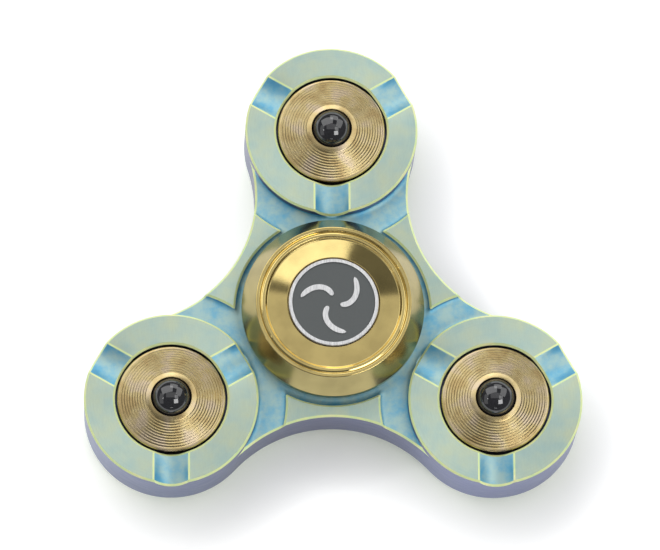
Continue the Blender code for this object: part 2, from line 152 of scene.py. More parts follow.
# Medallion and its motif.
MEDAL_POCKET_GAP = 0.15
MEDAL_SEAT_GAP = 0.03
MEDAL_RIM_WIDTH = 0.4
MEDAL_FIELD_DROP = 0.12
MEDAL_EDGE = 0.05
FIELD_EDGE_INSIDE = 0.03
FIELD_EDGE_OUTSIDE = 0.01
MOTIF_BARS = 3
MOTIF_START_TURN = math.radians(100)
MOTIF_INNER_RADIUS = 0.75
MOTIF_REACH = 2.95
MOTIF_SWEEP = 1.25
MOTIF_SWEEP_POWER = 1.3
MOTIF_HALF_WIDTH = 0.3
MOTIF_END_POWER = 6
MOTIF_STEPS = 28
MOTIF_AHEAD = 0.01
MOTIF_FOOT_DROP = 0.14
MOTIF_TOP_DROP = 0.005

# Lobe weights.
WEIGHT_FALL = 1.0
WEIGHT_GAP = 0.03
BALL_SEAT_GAP = 0.035
DRILL_HALF_ANGLE = math.radians(59)
WEIGHT_GROOVES = 10
WEIGHT_GROOVE_STEPS = 8
WEIGHT_GROOVES_START = 2.8
WEIGHT_GROOVES_END = 5.72
WEIGHT_GROOVE_HALF_DEPTH = 0.032
WEIGHT_NECK_GAP = 0.2
SEAT_EDGE_WIDTH = 0.06
SEAT_EDGE_DROP = 0.09
WEIGHT_EDGE_WIDTH = 0.09
WEIGHT_EDGE_DROP = 0.07
WEIGHT_EDGE_RISE = 0.02
WEIGHT_STUD_RADIUS = 2.5
WEIGHT_STUD_END = -0.7
WEIGHT_SOCKET_RADIUS = 2.56
WEIGHT_SOCKET_END = 0.73

# Fine edges that the CAD part leaves sharp.
CHAMFER = 0.23
GROOVE_CHAMFER = 0.17
GROOVE_CHAMFER_SLOPE = 0.3
COVE_RADIUS = 0.62
WALL_STRIP = 0.008
COVE_SHARE = 0.55
COVE_STEPS = (0.06, 0.15, 0.28, 0.44, COVE_RADIUS)
PAD_COVE_STEPS = (0.07, 0.16, 0.29, 0.45, COVE_RADIUS)
BEVEL_WIDTH = 0.04
BEVEL_OVER = math.radians(50)

# How finely curves are cut, and how close points have to be to count as one.
CURVE_STEP = 0.22
GROOVE_OFFSETS = (0.35, 0.7, 1.1, 1.45, 1.7, 1.86)
GROOVE_STEPS = 8
GROOVE_FINISH_MARGIN = 0.04
PAD_EDGE_SWEEP = math.radians(26)
OUTSIDE_MARGIN = 0.3
POINT_DIGITS = 4
POINT_TOLERANCE = 0.0005
PLAN_TOLERANCE = 1e-6
CIRCLE_TOLERANCE = 0.01
ROUNDING_STEPS = 3
ROUNDING_SHARE = 0.45
ROUNDING_HOLD = 1.5
ROUNDING_HOLD_SHARE = 0.48
BUTTON_STEPS = 192
MEDAL_STEPS = 144
WEIGHT_STEPS = 160
LOBE_BALL_STEPS = 64
RACE_BALL_STEPS = 32

# Finishes of the body, of the button and the weights, and of the medallion.
FACE, EDGE, RECESS, WALL = range(4)
BRIGHT, BACK, FLANK = range(3)
FIELD, SILVER = range(2)


# ---------------------------------------------------------------- camera

CAMERA_TILT = math.radians(15.597)
CAMERA_YAW = math.radians(7.96)
CAMERA_ROLL = math.radians(7.813)
CAMERA_DISTANCE = 622.8
CAMERA_LENS = 304.6
SENSOR_WIDTH = 36.0
CLIP_START = 0.01
CLIP_END = 10
AIM_RIGHT = -0.323
AIM_UP = 3.718


def view_axes():
    """The camera's right, up and backward directions, before its small turn towards the aim."""
    level = Vector((math.cos(CAMERA_YAW), -math.sin(CAMERA_YAW), 0))
    ahead = Vector((math.sin(CAMERA_YAW), math.cos(CAMERA_YAW), 0))
    rise = ahead * math.cos(CAMERA_TILT) + Vector((0, 0, math.sin(CAMERA_TILT)))
    back = -ahead * math.sin(CAMERA_TILT) + Vector((0, 0, math.cos(CAMERA_TILT)))
    right = level * math.cos(CAMERA_ROLL) + rise * math.sin(CAMERA_ROLL)
    up = rise * math.cos(CAMERA_ROLL) - level * math.sin(CAMERA_ROLL)
    return right, up, back


def set_frame(thing, axes, place):
    """Gives an object the three axes and the place, in metres."""
    matrix = thing.matrix_world
    for column, axis in enumerate(axes):
        for row in range(3):
            matrix[row][column] = axis[row]
    for row in range(3):
        matrix[row][3] = place[row]
    thing.matrix_world = matrix


def add_camera():
    right, up, back = view_axes()
    hub_top = Vector((0, 0, RING_HEIGHT))
    place = hub_top + back * CAMERA_DISTANCE
    aim = hub_top + right * AIM_RIGHT + up * AIM_UP
    towards = (place - aim).normalized()
    side = (right - towards * right.dot(towards)).normalized()
    above = towards.cross(side)
    data = bpy.data.cameras.new("camera")
    data.lens = CAMERA_LENS
    data.sensor_width = SENSOR_WIDTH
    data.clip_start = CLIP_START
    data.clip_end = CLIP_END
    camera = bpy.data.objects.new("camera", data)
    bpy.context.scene.collection.objects.link(camera)
    set_frame(camera, (side, above, towards), [part * MM for part in place])
    bpy.context.scene.camera = camera


# ---------------------------------------------------------------- mesh helpers


def wrapped(angle):
    """The same angle, between minus and plus half a turn."""
    return (angle + math.pi) % math.tau - math.pi


def lobe_angle(index):
    return math.radians(90) + math.tau * index / LOBE_COUNT


def polar(radius, angle):
    return Vector((radius * math.cos(angle), radius * math.sin(angle)))


def lobe_centre(index):
    return polar(LOBE_DISTANCE, lobe_angle(index))


def finish_mesh(bm, name, materials, sharp_degrees=28):
    """Makes an object from a mesh in millimetres, smooth except across its sharp edges."""
    bmesh.ops.scale(bm, vec=(MM, MM, MM), verts=bm.verts)
    mesh = bpy.data.meshes.new(name)
    bm.to_mesh(mesh)
    bm.free()
    for material in materials:
        mesh.materials.append(material)
    mesh.shade_smooth()
    mesh.set_sharp_from_angle(angle=math.radians(sharp_degrees))
    made = bpy.data.objects.new(name, mesh)
    bpy.context.scene.collection.objects.link(made)
    return made


def rounded(points, radius):
    """A profile of (radius, height, finish) points with each inner corner rounded.

    A point just outside each end of a rounding keeps the straight stretch beyond it shaded straight.
    """
    made = [points[0]]
    for before, here, after in zip(points, points[1:], points[2:]):
        corner = Vector(here[:2])
        one = Vector(before[:2]) - corner
        two = Vector(after[:2]) - corner
        cut = min(radius, one.length * ROUNDING_SHARE, two.length * ROUNDING_SHARE)
        start = corner + one.normalized() * cut
        end = corner + two.normalized() * cut
        hold = corner + one.normalized() * min(cut * ROUNDING_HOLD, one.length * ROUNDING_HOLD_SHARE)
        made.append((hold.x, hold.y, before[2]))
        for i in range(ROUNDING_STEPS + 1):
            t = i / ROUNDING_STEPS
            point = start * (1 - t) ** 2 + corner * (2 * t * (1 - t)) + end * t**2
            made.append((point.x, point.y, here[2] if t > 0.5 else before[2]))
        hold = corner + two.normalized() * min(cut * ROUNDING_HOLD, two.length * ROUNDING_HOLD_SHARE)
        made.append((hold.x, hold.y, here[2]))
    made.append(points[-1])
    return made


def turned(name, profile, steps, materials, centre=(0, 0), flip=False):
    """Turns a profile of (radius, height, finish) points round Z.

    A point's finish is that of the stretch that starts there. The map's u goes round and v goes along.
    """
    bm = bmesh.new()
    layer = bm.loops.layers.uv.new("turned")
    sign = -1 if flip else 1
    rings = []
    for radius, height, _ in profile:
        if radius == 0:
            rings.append([bm.verts.new((centre[0], centre[1], sign * height))])
            continue
        ring = []
        for i in range(steps):
            spot = polar(radius, math.tau * i / steps)
            ring.append(bm.verts.new((centre[0] + spot.x, centre[1] + spot.y, sign * height)))
        rings.append(ring)
    along = 0.0
    for here, after, a, b in zip(profile, profile[1:], rings, rings[1:]):
        reach = along + (Vector(here[:2]) - Vector(after[:2])).length
        for i in range(steps):
            j = (i + 1) % steps
            corners = ((a, i, i, along), (a, j, i + 1, along), (b, j, i + 1, reach), (b, i, i, reach))
            seen = []
            for ring, index, turn, v in corners:
                vert = ring[index % len(ring)]
                if all(vert is not other[0] for other in seen):
                    seen.append((vert, turn / steps, v))
            if flip:
                seen.reverse()
            face = bm.faces.new([item[0] for item in seen])
            face.material_index = here[2]
            for loop, item in zip(face.loops, seen):
                loop[layer].uv = (item[1], item[2])
        along = reach
    bmesh.ops.recalc_face_normals(bm, faces=bm.faces)
    return finish_mesh(bm, name, materials)


# ---------------------------------------------------------------- body outline


def waist_circle():
    """Distance and radius of the round cut between two lobes, which touches both of them."""
    half = math.pi / LOBE_COUNT
    reach = LOBE_RADIUS - WAIST_RADIUS
    distance = (LOBE_DISTANCE**2 - reach**2) / (2 * (reach + LOBE_DISTANCE * math.cos(half)))
    return distance, distance - WAIST_RADIUS


WAIST_DISTANCE, WAIST_CUT = waist_circle()


def tangent_turn():
    """Angle at a lobe's centre, from straight outward, where the waist cut begins."""
    towards = polar(WAIST_DISTANCE, math.pi / LOBE_COUNT) - Vector((LOBE_DISTANCE, 0))
    return math.atan2(towards.y, towards.x)


TANGENT_TURN = tangent_turn()


def arc_points(centre, radius, start, end, step=CURVE_STEP):
    count = max(2, math.ceil(abs(end - start) * radius / step))
    return [centre + polar(radius, start + (end - start) * i / count) for i in range(count + 1)]


def lobe_arcs(index, radius):
    """A lobe circle's free side and hub side. Circles of any radius break at the same angles."""
    centre = lobe_centre(index)
    out = lobe_angle(index)
    step = CURVE_STEP * radius / LOBE_RADIUS
    free = arc_points(centre, radius, out - TANGENT_TURN, out + TANGENT_TURN, step)
    inner = arc_points(centre, radius, out + TANGENT_TURN, out + math.tau - TANGENT_TURN, step)
    return free, inner


def waist_points(index, inset):
    """The waist's edge after a lobe, moved inward by inset."""
    direction = lobe_angle(index) + math.pi / LOBE_COUNT
    centre = polar(WAIST_DISTANCE, direction)
    to_lobe = lobe_centre(index) - centre
    start = math.atan2(to_lobe.y, to_lobe.x) - direction - math.pi
    swing = wrapped(start)
    facing = direction + math.pi
    return arc_points(centre, WAIST_CUT + inset, facing + swing, facing - swing)


def pad_loop(index, level):
    """The pad's edge at a distance inside its wall, run past the waist so that the outline trims it."""
    direction = lobe_angle(index) + math.pi / LOBE_COUNT
    side = LOBE_RADIUS + PAD_LOBE_GAP
    hub_radius = PAD_INNER_RADIUS + PAD_CORNER
    lobe_radius = side + PAD_CORNER
    span = (LOBE_DISTANCE**2 + hub_radius**2 - lobe_radius**2) / (2 * LOBE_DISTANCE * hub_radius)
    turn = math.pi / LOBE_COUNT - math.acos(span)
    corner_radius = PAD_CORNER - level
    sides = []
    for hand, lobe in ((-1, index), (1, (index + 1) % LOBE_COUNT)):
        corner = polar(hub_radius, direction + hand * turn)
        centre = lobe_centre(lobe)
        away = corner - centre
        inward = math.atan2(-corner.y, -corner.x)
        towards = math.atan2(-away.y, -away.x)
        swing = wrapped(towards - inward)
        fillet = arc_points(corner, corner_radius, inward, inward + swing, CURVE_STEP / 2)
        start = math.atan2(away.y, away.x)
        edge = arc_points(centre, side + level, start, start + hand * PAD_EDGE_SWEEP)
        sides.append((fillet, edge))
    hub = arc_points(Vector((0, 0)), PAD_INNER_RADIUS + level, direction - turn, direction + turn)
    return [sides[0][0] + sides[0][1], hub, sides[1][0] + sides[1][1]]


def nearest_lobe(point):
    return min(range(LOBE_COUNT), key=lambda i: (point - lobe_centre(i)).length_squared)


def outline_depth(point):
    """How far inside the body's edge a point is. Negative outside."""
    index = nearest_lobe(point)
    away = point - lobe_centre(index)
    turn = wrapped(math.atan2(away.y, away.x) - lobe_angle(index))
    if abs(turn) <= TANGENT_TURN:
        return LOBE_RADIUS - away.length
    direction = lobe_angle(index) + math.copysign(math.pi / LOBE_COUNT, turn)
    return (point - polar(WAIST_DISTANCE, direction)).length - WAIST_CUT


def pad_depth(point):
    """How far inside the nearest pad's wall a point is. Negative outside."""
    angle = math.atan2(point.y, point.x) - lobe_angle(0)
    index = int((angle % math.tau) // (math.tau / LOBE_COUNT))
    hub = point.length - PAD_INNER_RADIUS
    lobes = min((point - lobe_centre(i)).length for i in (index, (index + 1) % LOBE_COUNT))
    side = lobes - LOBE_RADIUS - PAD_LOBE_GAP
    corner = math.hypot(max(PAD_CORNER - hub, 0), max(PAD_CORNER - side, 0))
    return min(max(min(hub, side), PAD_CORNER), PAD_CORNER - corner) if corner else min(hub, side)


# ---------------------------------------------------------------- body surface


def clamp(value, low=0.0, high=1.0):
    return max(low, min(high, value))


def groove_place(point, index):
    """Distance along and across the nearest radial groove of a lobe."""
    away = point - lobe_centre(index)
    best = None
    for groove in range(LOBE_COUNT):
        turn = GROOVE_TURN + math.tau * groove / LOBE_COUNT
        along = away.x * math.cos(turn) + away.y * math.sin(turn)
        across = -away.x * math.sin(turn) + away.y * math.cos(turn)
        if along > 0 and (best is None or abs(across) < abs(best[1])):
            best = (along, across)
    return best


def ring_top(point, index):
    """Height of the lobe ring's face, with its grooves and their small chamfers."""
    along, across = groove_place(point, index)
    reach = abs(across)
    drop = 0.0
    if reach < GROOVE_HALF_WIDTH:
        slope = (GROOVE_DEPTH_AT_RIM - GROOVE_DEPTH_AT_BORE) / (LOBE_RADIUS - BORE_RADIUS)
        depth = GROOVE_DEPTH_AT_BORE + slope * (along - BORE_RADIUS)
        radius = (GROOVE_HALF_WIDTH**2 + depth**2) / (2 * depth)
        drop = math.sqrt(radius**2 - reach**2) - (radius - depth)
    margin = GROOVE_HALF_WIDTH + GROOVE_CHAMFER - reach
    if 0 < margin < GROOVE_HALF_WIDTH / 2:
        drop = max(drop, margin * GROOVE_CHAMFER_SLOPE)
    return RING_HEIGHT - drop


def cove(distance):
    """Rise of the fillet at a wall's foot."""
    gap = COVE_RADIUS - clamp(distance, 0, COVE_RADIUS)
    return COVE_RADIUS - math.sqrt(COVE_RADIUS**2 - gap**2) if gap < COVE_RADIUS else COVE_RADIUS


def wall_profile(depth, top, foot):
    """Height across a wall: top inside it with a chamfer, foot and its fillet outside."""
    if depth >= 0:
        return top - clamp(CHAMFER - depth, 0, CHAMFER)
    fall = clamp(-depth / WALL_STRIP)
    base = min(foot + cove(-depth - WALL_STRIP) * COVE_SHARE, top - CHAMFER)
    return (top - CHAMFER) * (1 - fall) + base * fall


def upper_height(point):
    """Height of the body's upper surface."""
    index = nearest_lobe(point)
    distance = (point - lobe_centre(index)).length
    ring_depth = LOBE_RADIUS - distance
    if ring_depth >= -POINT_TOLERANCE:
        top = ring_top(point, index)
        bore_drop = clamp(CHAMFER - (distance - BORE_RADIUS), 0, CHAMFER)
        return wall_profile(max(ring_depth, 0), top, WEB_HEIGHT) - bore_drop
    edge = lobe_centre(index) + (point - lobe_centre(index)) * (LOBE_RADIUS / distance)
    height = wall_profile(ring_depth, ring_top(edge, index), WEB_HEIGHT)
    height = max(height, wall_profile(pad_depth(point), PAD_HEIGHT, WEB_HEIGHT))
    height = max(height, wall_profile(COLLAR_RADIUS - point.length, COLLAR_TOP, WEB_HEIGHT))
    return height - clamp(CHAMFER - outline_depth(point), 0, CHAMFER)


def edge_distance(point):
    """Distance to the body's edge or to the nearest bore, whichever is less."""
    bore = (point - lobe_centre(nearest_lobe(point))).length - BORE_RADIUS
    return min(bore, outline_depth(point))


def lower_height(point):
    """Depth of the body's flat lower surface, with the button's pocket and the collar in it."""
    depth = wall_profile(point.length - POCKET_RADIUS, RING_HEIGHT, WEB_HEIGHT)
    depth = max(depth, wall_profile(COLLAR_RADIUS - point.length, COLLAR_BOTTOM, WEB_HEIGHT))
    return depth - clamp(CHAMFER - edge_distance(point), 0, CHAMFER)


def lower_finish(point):
    """Which finish the lower surface has at a point."""
    inside = point.length - POCKET_RADIUS
    if -WALL_STRIP < inside < 0:
        return WALL
    if 0 <= inside < CHAMFER or edge_distance(point) < CHAMFER:
        return EDGE
    return FACE if inside > 0 else RECESS


def upper_finish(point):
    """Which finish the upper surface has at a point."""
    index = nearest_lobe(point)
    distance = (point - lobe_centre(index)).length
    ring_depth = LOBE_RADIUS - distance
    if ring_depth > 0:
        across = abs(groove_place(point, index)[1])
        if min(ring_depth, distance - BORE_RADIUS) < CHAMFER:
            return EDGE
        if across < GROOVE_HALF_WIDTH - GROOVE_FINISH_MARGIN:
            return RECESS
        return EDGE if across < GROOVE_HALF_WIDTH + GROOVE_CHAMFER else FACE
    depth = pad_depth(point)
    if -WALL_STRIP < ring_depth or -WALL_STRIP < depth < 0:
        return WALL
    if outline_depth(point) < CHAMFER or 0 <= depth < CHAMFER:
        return EDGE
    return FACE if depth >= 0 else RECESS


class Plan:
    """Points and lines of the body's plan, with shared points kept once."""

    def __init__(self):
        self.points = []
        self.lines = []
        self.found = {}

    def add_point(self, point):
        key = (round(point.x, POINT_DIGITS), round(point.y, POINT_DIGITS))
        if key not in self.found:
            self.found[key] = len(self.points)
            self.points.append(Vector(key))
        return self.found[key]

    def add_line(self, points, trim=None):
        for start, end in zip(points, points[1:]):
            if trim and trim(start) and trim(end):
                continue
            one, two = self.add_point(start), self.add_point(end)
            if one != two:
                self.lines.append((one, two))


def outside_body(point):
    return outline_depth(point) < -OUTSIDE_MARGIN


def add_lobe_lines(plan, index):
    centre = lobe_centre(index)
    for radius in (LOBE_RADIUS, LOBE_RADIUS - CHAMFER):
        free, inner = lobe_arcs(index, radius)
        plan.add_line(free)
        plan.add_line(inner)
    for reach in (0, *COVE_STEPS):
        _, inner = lobe_arcs(index, LOBE_RADIUS + WALL_STRIP + reach)
        plan.add_line(inner, outside_body)
    for radius in (BORE_RADIUS, BORE_RADIUS + CHAMFER):
        plan.add_line(arc_points(centre, radius, 0, math.tau))
    edge = GROOVE_HALF_WIDTH + GROOVE_CHAMFER
    below = [-offset for offset in reversed(GROOVE_OFFSETS)]
    for groove in range(LOBE_COUNT):
        turn = GROOVE_TURN + math.tau * groove / LOBE_COUNT
        ahead, aside = polar(1, turn), polar(1, turn + math.pi / 2)
        for offset in (-edge, *below, 0, *GROOVE_OFFSETS, edge):
            inner = math.sqrt(BORE_RADIUS**2 - offset**2)
            outer = math.sqrt(LOBE_RADIUS**2 - offset**2)
            steps = [inner + (outer - inner) * i / GROOVE_STEPS for i in range(GROOVE_STEPS + 1)]
            plan.add_line([centre + ahead * step + aside * offset for step in steps])


def body_plan():
    plan = Plan()
    for index in range(LOBE_COUNT):
        add_lobe_lines(plan, index)
        plan.add_line(waist_points(index, 0))
        plan.add_line(waist_points(index, CHAMFER))
        for level in (CHAMFER, 0, -WALL_STRIP, *(-step for step in PAD_COVE_STEPS)):
            for stretch in pad_loop(index, level):
                plan.add_line(stretch, outside_body)
    origin = Vector((0, 0))
    radii = [LIP_RADIUS, BEARING_POCKET_RADIUS, COLLAR_RADIUS, COLLAR_RADIUS + WALL_STRIP]
    radii += [POCKET_RADIUS + CHAMFER, POCKET_RADIUS, POCKET_RADIUS - WALL_STRIP]
    radii += [POCKET_RADIUS - WALL_STRIP - reach for reach in COVE_STEPS]
    for radius in radii:
        plan.add_line(arc_points(origin, radius, 0, math.tau))
    return plan


def body_triangles():
    """The plan's triangles inside the body, as points and index triples."""
    plan = body_plan()
    points, _, faces, *_ = delaunay_2d_cdt(plan.points, plan.lines, [], 0, PLAN_TOLERANCE)
    kept = []
    for face in faces:
        middle = sum((points[i] for i in face), Vector((0, 0))) / 3
        bore = min((middle - lobe_centre(i)).length for i in range(LOBE_COUNT))
        if outline_depth(middle) > 0 and bore > BORE_RADIUS and middle.length > LIP_RADIUS:
            kept.append((face, middle))
    return points, kept


def loop_on_circle(bm, edges, centre, radius):
    """Those of the open edges that lie on a circle."""
    def on_circle(vert):
        return abs((vert.co.to_2d() - centre).length - radius) < CIRCLE_TOLERANCE

    return [edge for edge in edges if all(on_circle(vert) for vert in edge.verts)]


def extend(bm, edges, centre=None, radius=None, height=None):
    """Extrudes open edges to a height, or in a plane to a radius about a centre. Returns the new edges."""
    made = bmesh.ops.extrude_edge_only(bm, edges=edges)["geom"]
    for vert in (item for item in made if isinstance(item, bmesh.types.BMVert)):
        if height is not None:
            vert.co.z = height
        if radius is not None:
            spot = centre + (vert.co.to_2d() - centre).normalized() * radius
            vert.co.x, vert.co.y = spot
    for face in (item for item in made if isinstance(item, bmesh.types.BMFace)):
        face.material_index = WALL
    return [item for item in made if isinstance(item, bmesh.types.BMEdge)]


def half_body(points, kept, upper):
    """One half of the body, from its surface down to mid-thickness, as a mesh with an open middle."""
    bm = bmesh.new()
    verts = {}
    height_at = upper_height if upper else lower_height
    finish_at = upper_finish if upper else lower_finish
    hole = BEARING_POCKET_RADIUS if upper else LIP_RADIUS
    for face, middle in kept:
        if middle.length < hole:
            continue
        for i in face:
            if i not in verts:
                spot = points[i]
                verts[i] = bm.verts.new((spot.x, spot.y, height_at(spot)))
        made = bm.faces.new([verts[i] for i in face])
        made.material_index = finish_at(middle)
    bmesh.ops.recalc_face_normals(bm, faces=bm.faces)
    open_edges = [edge for edge in bm.edges if edge.is_boundary]
    hub = loop_on_circle(bm, open_edges, Vector((0, 0)), hole)
    bores = []
    for index in range(LOBE_COUNT):
        bores.append((lobe_centre(index), loop_on_circle(bm, open_edges, lobe_centre(index), BORE_RADIUS)))
    used = set(hub).union(*(set(edges) for _, edges in bores))
    extend(bm, [edge for edge in open_edges if edge not in used], height=0)
    for centre, edges in bores:
        edges = extend(bm, edges, height=RIB_HEIGHT)
        edges = extend(bm, edges, centre, RIB_BORE_RADIUS)
        extend(bm, edges, height=0)
    if upper:
        extend(bm, hub, height=0)
    else:
        edges = extend(bm, hub, height=RACE_FACE)
        edges = extend(bm, edges, Vector((0, 0)), BEARING_POCKET_RADIUS)
        extend(bm, edges, height=0)
    return bm


def body_mesh(materials):
    points, kept = body_triangles()
    bm = half_body(points, kept, True)
    lower = half_body(points, kept, False)
    for vert in lower.verts:
        vert.co.z = -vert.co.z
    bmesh.ops.reverse_faces(lower, faces=lower.faces)
    joined = bpy.data.meshes.new("lower_half")
    lower.to_mesh(joined)
    lower.free()
    bm.from_mesh(joined)
    bpy.data.meshes.remove(joined)
    bmesh.ops.remove_doubles(bm, verts=bm.verts, dist=POINT_TOLERANCE)
    bmesh.ops.recalc_face_normals(bm, faces=bm.faces)
    layer = bm.loops.layers.uv.new("turned")
    for face in bm.faces:
        middle = face.calc_center_median().to_2d()
        centre = lobe_centre(nearest_lobe(middle))
        away = middle - centre
        base = math.atan2(away.y, away.x)
        for loop in face.loops:
            offset = loop.vert.co.to_2d() - centre
            turn = base + wrapped(math.atan2(offset.y, offset.x) - base)
            loop[layer].uv = (turn / math.tau, offset.length)
    return finish_mesh(bm, "spinner_body", materials, sharp_degrees=24)


# ---------------------------------------------------------------- materials


class Shader:
    """A Principled material whose nodes are added by short calls."""

    def __init__(self, name, colour, roughness, metallic=1.0):
        self.material = bpy.data.materials.new(name)
        self.material.use_nodes = True
        self.nodes = self.material.node_tree.nodes
        self.links = self.material.node_tree.links
        self.shader = self.nodes["Principled BSDF"]
        self.shader.inputs["Base Color"].default_value = (*colour, 1)
        self.shader.inputs["Roughness"].default_value = roughness
        self.shader.inputs["Metallic"].default_value = metallic

    def add(self, kind, inputs=None, **settings):
        node = self.nodes.new(kind)
        for key, value in settings.items():
            setattr(node, key, value)
        for key, value in (inputs or {}).items():
            if isinstance(value, bpy.types.NodeSocket):
                self.links.new(value, node.inputs[key])
            else:
                node.inputs[key].default_value = value
        return node

    def to_shader(self, socket, output):
        self.links.new(output, self.shader.inputs[socket])

    def place(self):
        """Coordinates in millimetres, fixed to the piece."""
        if not hasattr(self, "_place"):
            source = self.add("ShaderNodeTexCoord").outputs["Object"]
            scaled = self.add("ShaderNodeVectorMath", {0: source, 3: 1 / MM}, operation="SCALE")
            self._place = scaled.outputs[0]
        return self._place

    def noise(self, scale, detail=3.0, roughness=0.5, vector=None):
        values = {"Vector": vector or self.place(), "Scale": scale, "Detail": detail, "Roughness": roughness}
        return self.add("ShaderNodeTexNoise", values).outputs["Fac"]

    def math(self, operation, one, two=0.0):
        return self.add("ShaderNodeMath", {0: one, 1: two}, operation=operation).outputs[0]

    def ramp(self, factor, stops):
        node = self.add("ShaderNodeValToRGB", {"Fac": factor})
        elements = node.color_ramp.elements
        while len(elements) < len(stops):
            elements.new(0.5)
        for element, (position, colour) in zip(elements, stops):
            element.position = position
            element.color = (*colour, 1)
        return node.outputs["Color"]

    def mix(self, factor, one, two, mode="MIX"):
        node = self.add("ShaderNodeMix", data_type="RGBA", blend_type=mode)
        for key, value in ((0, factor), (6, one), (7, two)):
            if isinstance(value, bpy.types.NodeSocket):
                self.links.new(value, node.inputs[key])
            else:
                node.inputs[key].default_value = value if key == 0 else (*value, 1)
        return node.outputs[2]

    def map_value(self, value, low, high, to_low, to_high):
        inputs = {"Value": value, "From Min": low, "From Max": high, "To Min": to_low, "To Max": to_high}
        return self.add("ShaderNodeMapRange", inputs).outputs[0]

    def bump(self, height, strength, distance):
        inputs = {"Height": height, "Strength": strength, "Distance": distance * MM}
        self.to_shader("Normal", self.add("ShaderNodeBump", inputs).outputs[0])

    def grey(self, level):
        return self.add("ShaderNodeCombineXYZ", {0: level, 1: level, 2: level}).outputs[0]

    def stretched(self, scale, turn=0.0):
        """The piece's coordinates, turned about Z and scaled."""
        inputs = {"Vector": self.place(), "Rotation": (0, 0, turn), "Scale": scale}
        return self.add("ShaderNodeMapping", inputs).outputs[0]

    def turned_map(self):
        """The map that goes round a turned piece (u) and along its profile in millimetres (v)."""
        node = self.add("ShaderNodeUVMap", uv_map="turned")
        split = self.add("ShaderNodeSeparateXYZ", {0: node.outputs[0]})
        return split.outputs[0], split.outputs[1]

    def brushed_round(self, amount):
        """Stretches highlights across the turning marks."""
        self.shader.inputs["Anisotropic"].default_value = amount
        tangent = self.add("ShaderNodeTangent", direction_type="UV_MAP", uv_map="turned")
        self.to_shader("Tangent", tangent.outputs[0])

    def turning_lines(self, pitch, wander=0.6):
        """Fine rings that follow the turning, uneven from one to the next."""
        _, along = self.turned_map()
        scaled = self.math("MULTIPLY", along, 1 / pitch)
        vector = self.add("ShaderNodeCombineXYZ", {0: scaled}).outputs[0]
        return self.noise(1.0, 2.0, wander, vector)


# Colours of each finish, as (place on the ramp, colour).
FACE_COLOURS = [(0.3, (0.48, 0.65, 0.6)), (0.5, (0.56, 0.69, 0.58)), (0.7, (0.62, 0.71, 0.53))]
# The edges' near-white yellow is partly the anodising's own colour at the chamfers and partly a painted
# highlight.
EDGE_COLOURS = [(0.3, (0.76, 0.95, 0.5)), (0.55, (0.9, 1.0, 0.48)), (0.75, (1.0, 1.0, 0.58))]
# The recess ramp's darker blue end serves partly as painted shade in the tilted coves and groove sides.
RECESS_COLOURS = [(0.25, (0.07, 0.36, 0.68)), (0.5, (0.2, 0.54, 0.74)), (0.72, (0.48, 0.69, 0.68))]
# The wall colours are spread from the body's left to its right as painted side shade.
WALL_COLOURS = [(0.4, (0.15, 0.18, 0.31)), (0.6, (0.145, 0.155, 0.26)), (0.85, (0.175, 0.2, 0.36))]
BRONZE_COLOURS = [(0.35, (0.5, 0.37, 0.17)), (0.5, (0.6, 0.48, 0.24)), (0.65, (0.62, 0.5, 0.34))]
CERAMIC_COLOURS = [(0.4, (0.01, 0.01, 0.012)), (0.6, (0.02, 0.02, 0.024))]
FIELD_COLOURS = [(0.3, (0.1, 0.11, 0.11)), (0.7, (0.145, 0.155, 0.155))]
SILVER_COLOURS = [(0.35, (0.72, 0.72, 0.73)), (0.6, (0.92, 0.92, 0.92))]
FACE_HATCH_TURN = math.radians(38)
SILVER_HATCH_TURN = math.radians(-50)
DARKER = 0.82
LIGHTER = 1.15


def face_material():
    made = Shader("anodised_face", (0.5, 0.6, 0.48), 0.5, 0.65)
    tint = made.ramp(made.noise(0.4), FACE_COLOURS)
    hatch = made.noise(1.6, 2.0, 0.7, made.stretched((5.5, 0.8, 1), FACE_HATCH_TURN))
    both = made.math("ADD", hatch, made.turning_lines(0.16, 0.8))
    shade = made.grey(made.map_value(both, 0.6, 1.4, 0.93, 1.05))
    made.to_shader("Base Color", made.mix(1.0, tint, shade, "MULTIPLY"))
    made.to_shader("Roughness", made.map_value(both, 0.5, 1.5, 0.44, 0.6))
    made.bump(both, 0.35, 0.02)
    made.brushed_round(0.45)
    return made.material


def edge_material():
    made = Shader("anodised_edge_and_highlight", (0.72, 0.8, 0.4), 0.42, 0.15)
    # Painted highlight in part: the near-white yellow stands in for the light the chamfers catch, over the
    # anodising's own yellow-green.
    made.to_shader("Base Color", made.ramp(made.noise(0.8, 4.0, 0.6), EDGE_COLOURS))
    made.bump(made.noise(9.0), 0.2, 0.01)
    return made.material


def recess_material():
    made = Shader("anodised_recess_and_cove_shade", (0.25, 0.48, 0.56), 0.55, 0.7)
    cloud = made.noise(0.5, 5.0, 0.6)
    normal = made.add("ShaderNodeNewGeometry").outputs["Normal"]
    upright = made.add("ShaderNodeSeparateXYZ", {0: normal}).outputs[2]
    # Painted shade: tilted floor, in the coves at the walls' feet and the grooves' sides, takes the ramp's
    # darker blue and flat floor its paler end; the cloud is the anodising's own uneven tone.
    painted_cove_shade = made.map_value(made.math("ABSOLUTE", upright), 0.4, 1.0, 0.0, 1.0)
    blend = made.math("ADD", made.math("MULTIPLY", cloud, 0.75), made.math("MULTIPLY", painted_cove_shade, 0.27))
    made.to_shader("Base Color", made.ramp(blend, RECESS_COLOURS))
    grain = made.noise(7.0, 3.0, 0.6)
    made.to_shader("Roughness", made.map_value(grain, 0.3, 0.7, 0.5, 0.62))
    made.bump(grain, 0.25, 0.015)
    return made.material


